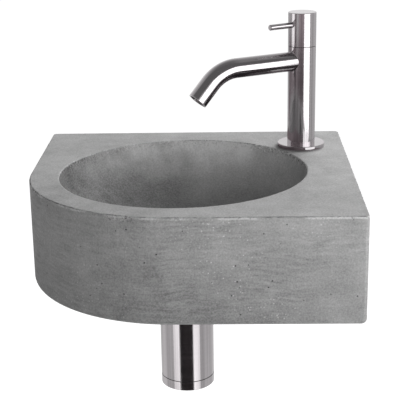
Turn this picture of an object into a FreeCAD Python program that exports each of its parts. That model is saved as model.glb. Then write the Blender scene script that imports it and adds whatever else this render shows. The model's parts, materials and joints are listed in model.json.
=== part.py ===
import FreeCAD, Part
import math
import os
import re
from enum import IntEnum

import Sketcher
from FreeCAD import Vector

# Driving dimensions, in millimetres and degrees
SIZES = {
    # Basin casting
    "basin_width": 310,
    "basin_depth": 295,
    "basin_height": 100,
    "sweep_radius": 140,
    "corner_round": 4,
    "top_round": 1.5,
    "base_round": 5,
    "bowl_length_share": 0.778,
    "bowl_breadth_share": 0.7756,
    "bowl_left_share": 0.4758,
    "bowl_front_share": 0.4868,
    "bowl_depth": 75,
    "bowl_turn": 33,
    "rim_round": 1.5,
    "waste_hole": 45,
    "waste_seat_diameter": 66,
    "waste_seat_sink": 3.5,
    "tap_from_right": 44,
    "tap_from_back": 61.8,
    "tap_hole": 26,
    "deck_thickness": 40,
    "service_room": 3.5,
    "service_back_wall": 15.5,
    "service_round": 8,
    "bolt_spacing": 140,
    "bolt_drop": 60,
    "bolt_hole": 12,
    "bolt_depth": 60,
    # Tap column and its fixing under the deck
    "flange_diameter": 48,
    "flange_thickness": 4.5,
    "flange_edge": 0.4,
    "base_seal_diameter": 42,
    "base_seal_thickness": 1.2,
    "column_diameter": 28.4,
    "joint_above_spout": 15,
    "socket_depth": 18,
    "waterway_diameter": 11,
    "chamber_diameter": 22.4,
    "chamber_depth": 36,
    "shank_diameter": 20.96,
    "shank_bore": 10,
    "shank_spare": 3,
    "inlet_diameter": 16.66,
    "inlet_length": 12,
    "clamp_diameter": 40,
    "rubber_washer_thickness": 3,
    "clamp_washer_thickness": 2,
    "backnut_flats": 30,
    "backnut_height": 8,
    # Spout and its flow straightener
    "spout_heading": 209.3,
    "spout_height": 89.5,
    "spout_diameter": 19.7,
    "spout_wall": 1.5,
    "spout_run": 76.8,
    "spout_bend": 40,
    "spout_fall": 47,
    "spout_tip": 21,
    "spout_seat": 1.5,
    "aerator_length": 9,
    "aerator_sink": 1,
    "aerator_wall": 1.3,
    "aerator_web": 4,
    "aerator_hole": 2.4,
    "aerator_ring_radius": 3.7,
    # Turning head and lever
    "lever_heading": 214,
    "head_gap": 0.6,
    "head_height": 33.5,
    "head_edge": 0.4,
    "head_cavity_diameter": 22,
    "head_cavity_depth": 7.5,
    "slip_ring_inset": 0.8,
    "slip_ring_breadth": 1.8,
    "lever_diameter": 5.8,
    "lever_above_joint": 21.9,
    "lever_reach": 40.5,
    "lever_sink": 8,
    "lever_end_edge": 0.6,
    "grub_diameter": 4,
    "grub_above_joint": 13.5,
    "grub_inset": 0.8,
    "grub_key": 2,
    "grub_key_depth": 2.2,
    # Quarter-turn headwork inside the column
    "headwork_diameter": 18.4,
    "headwork_wall": 1.4,
    "headwork_collar": 4.4,
    "headwork_flats": 17,
    "headwork_hex_height": 5,
    "headwork_shoulder": 12.2,
    "window_width": 8,
    "window_height": 9,
    "headwork_seal_thickness": 2,
    "disc_thickness": 3.5,
    "disc_port": 4.2,
    "disc_port_radius": 4,
    "drive_width": 4.2,
    "drive_length": 13,
    "drive_height": 5.5,
    "drive_bite": 1.3,
    "spindle_diameter": 8,
    "spindle_collar": 2,
    "spindle_flat": 0.8,
    "spindle_end_room": 1,
    "o_ring_section": 1.8,
    "o_ring_below_top": 5.5,
    # Waste in the bowl
    "waste_flange_diameter": 63,
    "waste_flange_thickness": 2.5,
    "waste_gasket_thickness": 1.5,
    "waste_dish_diameter": 56,
    "waste_dish_depth": 1.6,
    "waste_tail_diameter": 41.9,
    "waste_bore": 35,
    "waste_tail_below": 30,
    "bridge_width": 5,
    "bridge_height": 6,
    "bridge_boss": 13,
    "cover_diameter": 54,
    "cover_thickness": 2.5,
    "cover_lift": 4,
    "cover_edge": 1.2,
    "stem_diameter": 7,
    "under_gasket_thickness": 3,
    "waste_nut_flats": 50,
    "waste_nut_height": 9,
    # Bottle trap
    "trap_diameter": 53.5,
    "trap_wall": 1.6,
    "trap_drop": 122.2,
    "trap_top_gap": 2.5,
    "trap_top_wall": 3,
    "trap_edge": 1.2,
    "collar_wall": 2.2,
    "shelf_thickness": 2.5,
    "inlet_washer_thickness": 2,
    "dip_diameter": 32,
    "dip_wall": 1.2,
    "dip_flange": 2,
    "dip_end_room": 12.5,
    "cup_height": 9.5,
    "cup_gap": 0.8,
    "cup_floor": 2.5,
    "cup_spigot": 8,
    "cup_spigot_wall": 2.4,
    "cup_edge": 0.8,
    # Outlet to the wall
    "pipe_diameter": 32,
    "pipe_wall": 1.2,
    "pipe_past_wall": 40,
    "pipe_inner_end": 28,
    "mark_width": 1,
    "mark_depth": 0.4,
    "outlet_below_shelf": 0.7,
    "outlet_socket_wall": 3.2,
    "outlet_socket_reach": 50,
    "outlet_seal_thickness": 3,
    "outlet_nut_wall": 3.2,
    "outlet_nut_cover": 8,
    "outlet_nut_lip": 4,
    "outlet_nut_edge": 0.8,
    "rosette_diameter": 70,
    "rosette_height": 9,
    "rosette_wall": 1.2,
    "rosette_bevel": 5,
    # Clearances and the overrun of cuts
    "thread_clearance": 0.1,
    "running_clearance": 0.08,
    "pipe_clearance": 0.3,
    "face_clearance": 0.05,
    "overrun": 2,
}

# Places and sizes that follow from the driving dimensions
PLACES = {
    "bowl_length": "basin_width * bowl_length_share",
    "bowl_breadth": "basin_depth * bowl_breadth_share",
    "bowl_from_left": "basin_width * bowl_left_share",
    "bowl_from_front": "basin_depth * bowl_front_share",
    "bowl_across": "bowl_from_left - basin_width / 2",
    "bowl_along": "bowl_from_front - basin_depth",
    "tap_across": "basin_width / 2 - tap_from_right",
    "tap_along": "0 - tap_from_back",
    "underside": "bolt_drop - basin_height",
    "service_half": "clamp_diameter / 2 + service_room",
    "column_top": "spout_height + joint_above_spout",
    "lever_height": "column_top + lever_above_joint",
    "grub_height": "column_top + grub_above_joint",
    "column_radius": "column_diameter / 2",
    "chamber_radius": "chamber_diameter / 2",
    "chamber_floor": "column_top - chamber_depth",
    "shank_radius": "shank_diameter / 2",
    "shank_hole_radius": "shank_radius + thread_clearance",
    "socket_top": "flange_thickness + socket_depth",
    "deck_under": "0 - deck_thickness",
    "rubber_under": "deck_under - rubber_washer_thickness",
    "clamp_under": "rubber_under - clamp_washer_thickness",
    "backnut_under": "clamp_under - backnut_height",
    "shank_end": "backnut_under - shank_spare",
    "inlet_end": "shank_end - inlet_length",
    "spout_radius": "spout_diameter / 2",
    "tip_reach": "spout_run + spout_bend * sin(spout_fall) + spout_tip * cos(spout_fall)",
    "tip_height": "spout_height - spout_bend * (1 - cos(spout_fall)) - spout_tip * sin(spout_fall)",
    "aerator_radius": "spout_radius - spout_wall - thread_clearance",
    "aerator_bore": "aerator_radius - aerator_wall",
    "aerator_start": "0 - aerator_sink - aerator_length",
    "head_base": "column_top + head_gap",
    "head_top": "head_base + head_height",
    "head_cavity_top": "head_base + head_cavity_depth",
    "spindle_radius": "spindle_diameter / 2",
    "head_socket_radius": "spindle_radius + face_clearance",
    "spindle_top": "lever_height - lever_diameter / 2 - spindle_end_room",
    "lever_root": "column_radius - lever_sink",
    "flat_radius": "spindle_radius - spindle_flat",
    "headwork_radius": "headwork_diameter / 2",
    "headwork_bore": "headwork_radius - headwork_wall",
    "headwork_base": "chamber_floor + headwork_seal_thickness",
    "collar_base": "column_top - headwork_collar",
    "shoulder_height": "column_top - headwork_shoulder",
    "spindle_hole": "spindle_radius + running_clearance",
    "o_ring_height": "column_top - o_ring_below_top",
    "groove_radius": "spindle_hole + o_ring_section + face_clearance",
    "groove_half": "o_ring_section / 2 + face_clearance",
    "turning_disc_base": "headwork_base + disc_thickness + face_clearance",
    "turning_disc_top": "turning_disc_base + disc_thickness",
    "drive_base": "turning_disc_top - drive_bite",
    "drive_slot_depth": "drive_bite + face_clearance",
    "window_base": "turning_disc_top + drive_bite",
    "disc_radius": "headwork_bore - running_clearance",
    "bowl_floor": "basin_height - bowl_depth",
    "waste_seat_floor": "bowl_floor - waste_seat_sink",
    "waste_flange_base": "waste_seat_floor + waste_gasket_thickness",
    "waste_flange_top": "waste_flange_base + waste_flange_thickness",
    "waste_tail_radius": "waste_tail_diameter / 2",
    "waste_tail_hole": "waste_tail_radius + thread_clearance",
    "waste_bore_radius": "waste_bore / 2",
    "dish_base": "waste_flange_top - waste_dish_depth",
    "bridge_base": "dish_base - bridge_height",
    "cover_base": "waste_flange_top + cover_lift",
    "under_gasket_base": "0 - under_gasket_thickness",
    "waste_nut_base": "under_gasket_base - waste_nut_height",
    "trap_top": "waste_nut_base - trap_top_gap",
    "trap_radius": "trap_diameter / 2",
    "trap_bore": "trap_radius - trap_wall",
    "tail_end": "0 - waste_tail_below",
    "dip_top": "tail_end - inlet_washer_thickness",
    "shelf_top": "dip_top - dip_flange",
    "shelf_base": "shelf_top - shelf_thickness",
    "collar_radius": "waste_tail_hole + collar_wall",
    "dip_radius": "dip_diameter / 2",
    "dip_hole": "dip_radius + pipe_clearance",
    "trap_base": "0 - trap_drop",
    "cup_top": "trap_base + cup_height",
    "trap_end": "cup_top + cup_gap",
    "dip_end": "trap_base + cup_floor + dip_end_room",
    "spigot_radius": "trap_bore - pipe_clearance",
    "spigot_bore": "spigot_radius - cup_spigot_wall",
    "pipe_radius": "pipe_diameter / 2",
    "pipe_hole": "pipe_radius + pipe_clearance",
    "outlet_height": "shelf_base - pipe_hole - outlet_below_shelf",
    "outlet_socket_radius": "pipe_hole + outlet_socket_wall",
    "outlet_nut_bore": "outlet_socket_radius + thread_clearance",
    "outlet_nut_radius": "outlet_nut_bore + outlet_nut_wall",
    "outlet_nut_start": "outlet_socket_reach - outlet_nut_cover",
    "outlet_seal_end": "outlet_socket_reach + outlet_seal_thickness",
    "outlet_nut_end": "outlet_seal_end + outlet_nut_lip",
    "wall_distance": "basin_depth - bowl_from_front",
    "pipe_end": "wall_distance + pipe_past_wall",
    "rosette_base": "wall_distance - rosette_height",
}

ROUNDING = 1e-4
FULL_TURN = 360
RIGHT_ANGLE = 90
HEX_TURN = 60
HEX_SIDES = FULL_TURN // HEX_TURN
Point = IntEnum("Point", "START END CENTRE")
Axis = IntEnum("Axis", "V H", start=-2)

doc = FreeCAD.newDocument("hand_basin")
sheet = doc.addObject("Spreadsheet::Sheet", "Sizes")
for row, (alias, number) in enumerate(SIZES.items(), start=1):
    sheet.set(f"A{row}", alias)
    sheet.set(f"B{row}", str(number))
    sheet.setAlias(f"B{row}", alias)
doc.recompute()

pieces = []


def formula(text):
    """Write a formula of size and place names as one of sheet cells."""
    def cell(match):
        word = match.group(0)
        if word in PLACES:
            return "(" + formula(PLACES[word]) + ")"
        return "Sizes." + word if word in SIZES else word
    return re.sub(r"[a-z_]+", cell, text)


def value(text):
    """Work out a formula with the sheet as it stands."""
    return float(sheet.evalExpression(formula(text)))


def bind(feature, **sizes):
    """Tie properties of a feature to formulas."""
    for name, text in sizes.items():
        feature.setExpression(name, formula(text))


def bind_datum(sketch, constraint, text):
    """Add a dimension to a sketch and tie it to a formula."""
    number = sketch.addConstraint(constraint)
    sketch.setExpression(f"Constraints[{number}]", formula(text))


def pin_point(sketch, geometry, point, across, up):
    """Hold a point of the sketch at two formulas, measured from the sketch's origin."""
    for kind, axis, text in (("DistanceX", Axis.V, across), ("DistanceY", Axis.H, up)):
        if text == "0":
            sketch.addConstraint(Sketcher.Constraint("PointOnObject", geometry, point, axis))
        else:
            datum = Sketcher.Constraint(kind, Axis.H, Point.START, geometry, point, value(text))
            bind_datum(sketch, datum, text)


def add_sketch(body, plane, name):
    """An empty sketch on one of the body's own origin planes."""
    planes = {feature.Role: feature for feature in body.Origin.OriginFeatures}
    sketch = body.newObject("Sketcher::SketchObject", f"{body.Label}_{name}")
    sketch.AttachmentSupport = [(planes[plane], "")]
    sketch.MapMode = "FlatFace"
    return sketch


def draw_outline(sketch, points):
    """A closed outline of straight lines through pairs of formulas."""
    first = sketch.GeometryCount
    corners = [Vector(value(across), value(up), 0) for across, up in points]
    for start, end in zip(corners, corners[1:] + corners[:1]):
        sketch.addGeometry(Part.LineSegment(start, end))
    for index, (across, up) in enumerate(points):
        following = first + (index + 1) % len(points)
        sketch.addConstraint(Sketcher.Constraint("Coincident", first + index, Point.END, following, Point.START))
        pin_point(sketch, first + index, Point.START, across, up)


def draw_circle(sketch, across, up, radius):
    """A circle whose centre and radius are formulas."""
    middle = Vector(value(across), value(up), 0)
    circle = sketch.addGeometry(Part.Circle(middle, Vector(0, 0, 1), value(radius)))
    pin_point(sketch, circle, Point.CENTRE, across, up)
    bind_datum(sketch, Sketcher.Constraint("Radius", circle, value(radius)), radius)


def new_body(name):
    """An empty body, listed as one piece of the part."""
    body = doc.addObject("PartDesign::Body", name)
    body.Label = name
    pieces.append(body)
    return body


def turn_profile(body, points, kind="PartDesign::Revolution"):
    """Turn a half outline of radius and height formulas about the body's own upright axis."""
    sketch = add_sketch(body, "XZ_Plane", f"outline_{len(body.Group)}")
    draw_outline(sketch, points)
    turned = body.newObject(kind, f"{body.Label}_turn_{len(body.Group)}")
    turned.Profile = sketch
    turned.ReferenceAxis = (sketch, ["V_Axis"])
    turned.Angle = FULL_TURN
    doc.recompute()
    return turned


def turned_piece(name, points):
    """A body turned from one half outline."""
    body = new_body(name)
    turn_profile(body, points)
    return body


def ring_piece(name, inner, outer, base, top):
    """A plain ring or washer."""
    return turned_piece(name, [(inner, base), (outer, base), (outer, top), (inner, top)])


def add_primitive(body, kind, place, **sizes):
    """An added or cut primitive, with its place and sizes as formulas."""
    solid = body.newObject(f"PartDesign::{kind}", f"{body.Label}_{kind}_{len(body.Group)}")
    bind(solid, Placement=place, **sizes)
    doc.recompute()
    return solid


def at(across, along, up):
    """A place with no turn."""
    return f"placement(vector({across}; {along}; {up}); rotation(vector(0; 0; 1); 0))"


def sideways(across, up):
    """A place whose upright axis points along the body's own X axis."""
    return f"placement(vector({across}; 0; {up}); rotation(vector(0; 1; 0); {RIGHT_ANGLE}))"


def along_wall(along, up):
    """A place whose upright axis points along the body's own Y axis."""
    return f"placement(vector(0; {along}; {up}); rotation(vector(1; 0; 0); 0 - {RIGHT_ANGLE}))"


def add_pad(body, sketch, length, **settings):
    """Pad a sketch by a formula."""
    return extrude(body, "PartDesign::Pad", sketch, length, settings)


def add_pocket(body, sketch, length, **settings):
    """Pocket a sketch by a formula, and make sure that it cut something."""
    before = body.Shape.Volume
    pocket = extrude(body, "PartDesign::Pocket", sketch, length, settings)
    if body.Shape.Volume >= before:
        raise RuntimeError(f"{pocket.Name} cut nothing")
    return pocket


def extrude(body, kind, sketch, length, settings):
    """The feature shared by pads and pockets."""
    feature = body.newObject(kind, f"{body.Label}_{kind.split('::')[1]}_{len(body.Group)}")
    feature.Profile = sketch
    feature.Length = value(length)
    bind(feature, Length=length)
    for name, setting in settings.items():
        setattr(feature, name, setting)
    doc.recompute()
    return feature


def dress_edges(body, kind, size, wanted):
    """Round or chamfer the edges of the body that a test picks."""
    base = body.Tip
    names = [f"Edge{number}" for number, edge in enumerate(base.Shape.Edges, start=1) if wanted(edge)]
    dressing = body.newObject(f"PartDesign::{kind}", f"{body.Label}_{kind}_{len(body.Group)}")
    dressing.Base = (base, names)
    bind(dressing, **{"Radius" if kind == "Fillet" else "Size": size})
    doc.recompute()


def near(first, second):
    """Two lengths that are equal but for rounding."""
    return math.isclose(first, second, abs_tol=ROUNDING)


def round_at(radius, up):
    """A test for the circular edges of one radius at one height."""
    reach, height = value(radius), value(up)

    def wanted(edge):
        box = edge.BoundBox
        level = near(box.ZMin, height) and near(box.ZMax, height)
        return level and edge.Curve.TypeId == "Part::GeomCircle" and near(edge.Curve.Radius, reach)
    return wanted


def hexagon(flats):
    """The corners of a hexagon, as formulas of its size across the flats."""
    corners = []
    for corner in range(HEX_SIDES):
        turn = HEX_TURN / 2 + HEX_TURN * corner
        reach = f"{flats} / 2 / cos({HEX_TURN / 2})"
        corners.append((f"{reach} * cos({turn})", f"{reach} * sin({turn})"))
    return corners


def hex_nut(name, flats, bore, height):
    """A hexagon nut with its corners turned down at both ends."""
    body = new_body(name)
    sketch = add_sketch(body, "XY_Plane", "hexagon")
    draw_outline(sketch, hexagon(flats))
    draw_circle(sketch, "0", "0", bore)
    add_pad(body, sketch, height)
    flat_radius = f"{flats} / 2"
    corner_radius = f"{flats} / 2 / cos({HEX_TURN / 2}) + overrun"
    slope = f"({corner_radius} - {flat_radius}) * tan({HEX_TURN / 2})"
    turn_profile(body, [(flat_radius, "0"), (corner_radius, "0"), (corner_radius, slope)], "PartDesign::Groove")
    lower = f"{height} - {slope}"
    turn_profile(body, [(flat_radius, height), (corner_radius, height), (corner_radius, lower)],
                 "PartDesign::Groove")
    return body


def place(body, across, along, up, heading="0", tilt_axis="1; 0; 0", tilt="0", slide="0"):
    """Give a finished body its place in the part, and a slide along its own upright axis."""
    spot = f"placement(vector({across}; {along}; {up}); rotation(vector(0; 0; 1); {heading}))"
    spot += f" * placement(vector(0; 0; 0); rotation(vector({tilt_axis}); {tilt}))"
    spot += f" * {at('0', '0', slide)}"
    bind(body, Placement=spot)


def place_on_tap(body, heading="spout_heading", up="0"):
    """Stand a body on the tap's axis, its X axis along the spout or the lever."""
    place(body, "tap_across", "tap_along", f"bolt_drop + {up}", heading)


def place_on_drain(body, up="0"):
    """Hang a body on the drain's axis, measured from the underside of the basin."""
    place(body, "bowl_across", "bowl_along", f"underside + {up}")


def place_on_outlet(body):
    """Lay a body along the outlet, its own upright axis pointing at the wall."""
    place(body, "bowl_across", "bowl_along", "underside + outlet_height", tilt_axis="1; 0; 0",
          tilt=f"0 - {RIGHT_ANGLE}")


def place_on_tip(body, up="0"):
    """Seat a body in the end of the spout, its own upright axis along the jet."""
    place(body, "tap_across + tip_reach * cos(spout_heading)", "tap_along + tip_reach * sin(spout_heading)",
          "bolt_drop + tip_height", "spout_heading", "0; 1; 0", f"{RIGHT_ANGLE} + spout_fall", up)


def make_basin():
    """The cast basin: a slab with one swept corner, a bowl, a tap deck and wall fixing holes."""
    body = new_body("basin")
    sketch = add_sketch(body, "XY_Plane", "plan")
    half, depth, sweep = value("basin_width / 2"), value("basin_depth"), value("sweep_radius")
    sweep_centre = Vector(sweep - half, sweep - depth, 0)
    sketch.addGeometry(Part.LineSegment(Vector(half, 0, 0), Vector(-half, 0, 0)))
    sketch.addGeometry(Part.LineSegment(Vector(-half, 0, 0), Vector(-half, sweep - depth, 0)))
    circle = Part.Circle(sweep_centre, Vector(0, 0, 1), sweep)
    sketch.addGeometry(Part.ArcOfCircle(circle, math.pi, 3 * math.pi / 2))
    sketch.addGeometry(Part.LineSegment(Vector(sweep - half, -depth, 0), Vector(half, -depth, 0)))
    sketch.addGeometry(Part.LineSegment(Vector(half, -depth, 0), Vector(half, 0, 0)))
    back, left, arc, front, right = range(5)
    sketch.addConstraint(Sketcher.Constraint("Coincident", back, Point.END, left, Point.START))
    sketch.addConstraint(Sketcher.Constraint("Tangent", left, Point.END, arc, Point.START))
    sketch.addConstraint(Sketcher.Constraint("Tangent", arc, Point.END, front, Point.START))
    sketch.addConstraint(Sketcher.Constraint("Coincident", front, Point.END, right, Point.START))
    sketch.addConstraint(Sketcher.Constraint("Coincident", right, Point.END, back, Point.START))
    sketch.addConstraint(Sketcher.Constraint("Vertical", left))
    sketch.addConstraint(Sketcher.Constraint("Horizontal", front))
    bind_datum(sketch, Sketcher.Constraint("Radius", arc, sweep), "sweep_radius")
    pin_point(sketch, back, Point.START, "basin_width / 2", "0")
    pin_point(sketch, left, Point.START, "0 - basin_width / 2", "0")
    pin_point(sketch, right, Point.START, "basin_width / 2", "0 - basin_depth")
    add_pad(body, sketch, "basin_height")

    height = value("basin_height")
    dress_edges(body, "Fillet", "corner_round",
                lambda edge: near(edge.BoundBox.ZLength, height) and square_corner(edge, half, depth))
    dress_edges(body, "Fillet", "base_round", lambda edge: near(edge.BoundBox.ZMax, 0))
    dress_edges(body, "Fillet", "top_round", lambda edge: near(edge.BoundBox.ZMin, height))

    dish = "placement(vector(bowl_across; bowl_along; basin_height); rotation(vector(0; 0; 1); bowl_turn))"
    add_primitive(body, "SubtractiveEllipsoid", dish, Radius1="bowl_depth", Radius2="bowl_length / 2",
                  Radius3="bowl_breadth / 2")
    dress_edges(body, "Fillet", "rim_round", is_rim(height))
    drain = at("bowl_across", "bowl_along", "waste_seat_floor")
    add_primitive(body, "SubtractiveCylinder", drain, Radius="waste_seat_diameter / 2", Height="bowl_depth")
    through = at("bowl_across", "bowl_along", "0 - overrun")
    add_primitive(body, "SubtractiveCylinder", through, Radius="waste_hole / 2", Height="bowl_floor + overrun")

    pocket = add_sketch(body, "XY_Plane", "service_pocket")
    low, high = "tap_across - service_half", "tap_across + service_half"
    front_end, back_end = "tap_along - service_half", "0 - service_back_wall"
    draw_outline(pocket, [(low, front_end), (high, front_end), (high, back_end), (low, back_end)])
    add_pocket(body, pocket, "basin_height - deck_thickness", Reversed=True)
    pocket_height = value("basin_height - deck_thickness")
    dress_edges(body, "Fillet", "service_round",
                lambda edge: near(edge.Length, pocket_height) and near(edge.BoundBox.ZLength, pocket_height))
    deck = at("tap_across", "tap_along", "basin_height - deck_thickness - overrun")
    add_primitive(body, "SubtractiveCylinder", deck, Radius="tap_hole / 2",
                  Height="deck_thickness + overrun + overrun")

    bolts = add_sketch(body, "XZ_Plane", "wall_bolts")
    for side in ("bolt_spacing / 2", "0 - bolt_spacing / 2"):
        draw_circle(bolts, side, "basin_height - bolt_drop", "bolt_hole / 2")
    add_pocket(body, bolts, "bolt_depth", Reversed=True)
    place(body, "0", "0", "underside")


def square_corner(edge, half, depth):
    """An upright edge at one of the three square corners of the plan."""
    middle = edge.CenterOfMass
    return any(near(middle.x, x) and near(middle.y, y) for x, y in ((half, 0), (-half, 0), (half, -depth)))


def is_rim(height):
    """A test for the bowl's edge in the top face."""
    def wanted(edge):
        box = edge.BoundBox
        level = near(box.ZMin, height) and near(box.ZMax, height)
        inside = box.XLength < value("basin_width - top_round * 4") and edge.Length > value("bowl_length")
        return level and inside and edge.Curve.TypeId not in ("Part::GeomLine", "Part::GeomCircle")
    return wanted


def make_tap_column():
    """The upright column, bored for the shank below and the headwork above, with a port for the spout."""
    body = turned_piece("tap_column", [
        ("shank_hole_radius", "flange_thickness"), ("column_radius", "flange_thickness"),
        ("column_radius", "column_top"), ("chamber_radius", "column_top"),
        ("chamber_radius", "chamber_floor"), ("waterway_diameter / 2", "chamber_floor"),
        ("waterway_diameter / 2", "socket_top"), ("shank_hole_radius", "socket_top")])
    add_primitive(body, "SubtractiveCylinder", sideways("0", "spout_height"),
                  Radius="spout_radius + thread_clearance", Height="column_radius + overrun")
    place_on_tap(body)


def make_base_flange():
    """The round flange under the column, rebated below for its seal."""
    rebate = "base_seal_diameter / 2 + thread_clearance"
    body = turned_piece("base_flange", [
        ("shank_hole_radius", "base_seal_thickness"), (rebate, "base_seal_thickness"), (rebate, "0"),
        ("flange_diameter / 2", "0"), ("flange_diameter / 2", "flange_thickness"),
        ("shank_hole_radius", "flange_thickness")])
    dress_edges(body, "Chamfer", "flange_edge", round_at("flange_diameter / 2", "flange_thickness"))
    place_on_tap(body)
    seal = ring_piece("base_seal", "shank_hole_radius", "base_seal_diameter / 2", "0", "base_seal_thickness")
    place_on_tap(seal)


def make_tap_fixing():
    """The threaded shank through the deck, with the washers and nut that clamp it from below."""
    shank = turned_piece("tap_shank", [
        ("shank_bore / 2", "inlet_end"), ("inlet_diameter / 2", "inlet_end"),
        ("inlet_diameter / 2", "shank_end"), ("shank_radius", "shank_end"), ("shank_radius", "socket_top"),
        ("shank_bore / 2", "socket_top")])
    place_on_tap(shank)
    rubber = ring_piece("rubber_washer", "shank_hole_radius", "clamp_diameter / 2", "rubber_under", "deck_under")
    place_on_tap(rubber)
    clamp = ring_piece("clamp_washer", "shank_hole_radius", "clamp_diameter / 2", "clamp_under", "rubber_under")
    place_on_tap(clamp)
    nut = hex_nut("tap_backnut", "backnut_flats", "shank_hole_radius", "backnut_height")
    place_on_tap(nut, up="backnut_under")


def make_tap_spout():
    """The spout: one tube that runs out level, bends down and ends square, saddled into the column."""
    body = new_body("tap_spout")
    line = add_sketch(body, "XZ_Plane", "centre_line")
    fall = math.radians(value("spout_fall"))
    run, height, bend = value("spout_run"), value("spout_height"), value("spout_bend")
    bend_end = Vector(run + bend * math.sin(fall), height - bend * (1 - math.cos(fall)), 0)
    line.addGeometry(Part.LineSegment(Vector(0, height, 0), Vector(run, height, 0)))
    circle = Part.Circle(Vector(run, height - bend, 0), Vector(0, 0, 1), bend)
    line.addGeometry(Part.ArcOfCircle(circle, math.pi / 2 - fall, math.pi / 2))
    line.addGeometry(Part.LineSegment(bend_end, Vector(value("tip_reach"), value("tip_height"), 0)))
    level, arc, slope = range(3)
    line.addConstraint(Sketcher.Constraint("Tangent", level, Point.END, arc, Point.END))
    line.addConstraint(Sketcher.Constraint("Tangent", arc, Point.START, slope, Point.START))
    line.addConstraint(Sketcher.Constraint("Horizontal", level))
    pin_point(line, level, Point.START, "0", "spout_height")
    bind_datum(line, Sketcher.Constraint("DistanceX", Axis.H, Point.START, level, Point.END, run), "spout_run")
    bind_datum(line, Sketcher.Constraint("Radius", arc, bend), "spout_bend")
    pin_point(line, slope, Point.END, "tip_reach", "tip_height")
    section = add_sketch(body, "YZ_Plane", "section")
    draw_circle(section, "0", "spout_height", "spout_radius")
    draw_circle(section, "0", "spout_height", "spout_radius - spout_wall")
    doc.recompute()
    tube = body.newObject("PartDesign::AdditivePipe", "tap_spout_tube")
    tube.Profile = section
    tube.Spine = (line, ["Edge1", "Edge2", "Edge3"])
    doc.recompute()
    add_primitive(body, "SubtractiveCylinder", at("0", "0", "0"), Radius="column_radius - spout_seat",
                  Height="column_top")
    place_on_tap(body)


def make_aerator():
    """The flow straightener in the spout's end: a sleeve and a drilled insert."""
    sleeve = turned_piece("aerator_sleeve", [
        ("aerator_bore", "aerator_start"), ("aerator_radius", "aerator_start"),
        ("aerator_radius", "0 - aerator_sink"), ("aerator_bore", "0 - aerator_sink")])
    place_on_tip(sleeve)
    insert = new_body("aerator_insert")
    plate = add_sketch(insert, "XY_Plane", "plate")
    draw_circle(plate, "0", "0", "aerator_bore - face_clearance")
    draw_circle(plate, "0", "0", "aerator_hole / 2")
    add_pad(insert, plate, "aerator_web")
    hole = add_sketch(insert, "XY_Plane", "hole")
    draw_circle(hole, "aerator_ring_radius", "0", "aerator_hole / 2")
    pocket = add_pocket(insert, hole, "aerator_web", Reversed=True)
    axes = {feature.Role: feature for feature in insert.Origin.OriginFeatures}
    ring = insert.newObject("PartDesign::PolarPattern", "aerator_insert_ring")
    ring.Originals = [pocket]
    ring.Axis = (axes["Z_Axis"], [""])
    ring.Angle = FULL_TURN
    ring.Occurrences = HEX_SIDES
    insert.Tip = ring
    doc.recompute()
    place_on_tip(insert, "0 - aerator_sink - aerator_web - aerator_sink")


def make_lever_head():
    """The turning head, with its lever pin and the grub screw that holds it on the spindle."""
    head = turned_piece("lever_head", [
        ("head_cavity_diameter / 2", "head_base"), ("column_radius", "head_base"), ("column_radius", "head_top"),
        ("0", "head_top"), ("0", "spindle_top + face_clearance"),
        ("head_socket_radius", "spindle_top + face_clearance"), ("head_socket_radius", "head_cavity_top"),
        ("head_cavity_diameter / 2", "head_cavity_top")])
    add_primitive(head, "SubtractiveCylinder", sideways("lever_root", "lever_height"),
                  Radius="lever_diameter / 2 + face_clearance", Height="lever_sink + overrun")
    add_primitive(head, "SubtractiveCylinder", sideways("0 - column_radius - overrun", "grub_height"),
                  Radius="grub_diameter / 2 + face_clearance", Height="column_radius + overrun")
    dress_edges(head, "Chamfer", "head_edge", round_at("column_radius", "head_top"))
    place_on_tap(head, "lever_heading")

    pin = new_body("lever_pin")
    add_primitive(pin, "AdditiveCylinder", sideways("lever_root", "lever_height"), Radius="lever_diameter / 2",
                  Height="lever_reach - lever_root")
    reach = value("lever_reach")
    dress_edges(pin, "Chamfer", "lever_end_edge", lambda edge: near(edge.BoundBox.XMin, reach))
    place_on_tap(pin, "lever_heading")

    grub = new_body("grub_screw")
    outer_end = "0 - column_radius + grub_inset"
    add_primitive(grub, "AdditiveCylinder", sideways(outer_end, "grub_height"), Radius="grub_diameter / 2",
                  Height="column_radius - grub_inset - flat_radius - face_clearance")
    key = add_sketch(grub, "YZ_Plane", "key")
    draw_outline(key, [(across, f"grub_height + {up}") for across, up in hexagon("grub_key")])
    key.setExpression("AttachmentOffset.Base.z", formula(outer_end))
    add_pocket(grub, key, "grub_key_depth", Reversed=True)
    place_on_tap(grub, "lever_heading")


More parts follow.
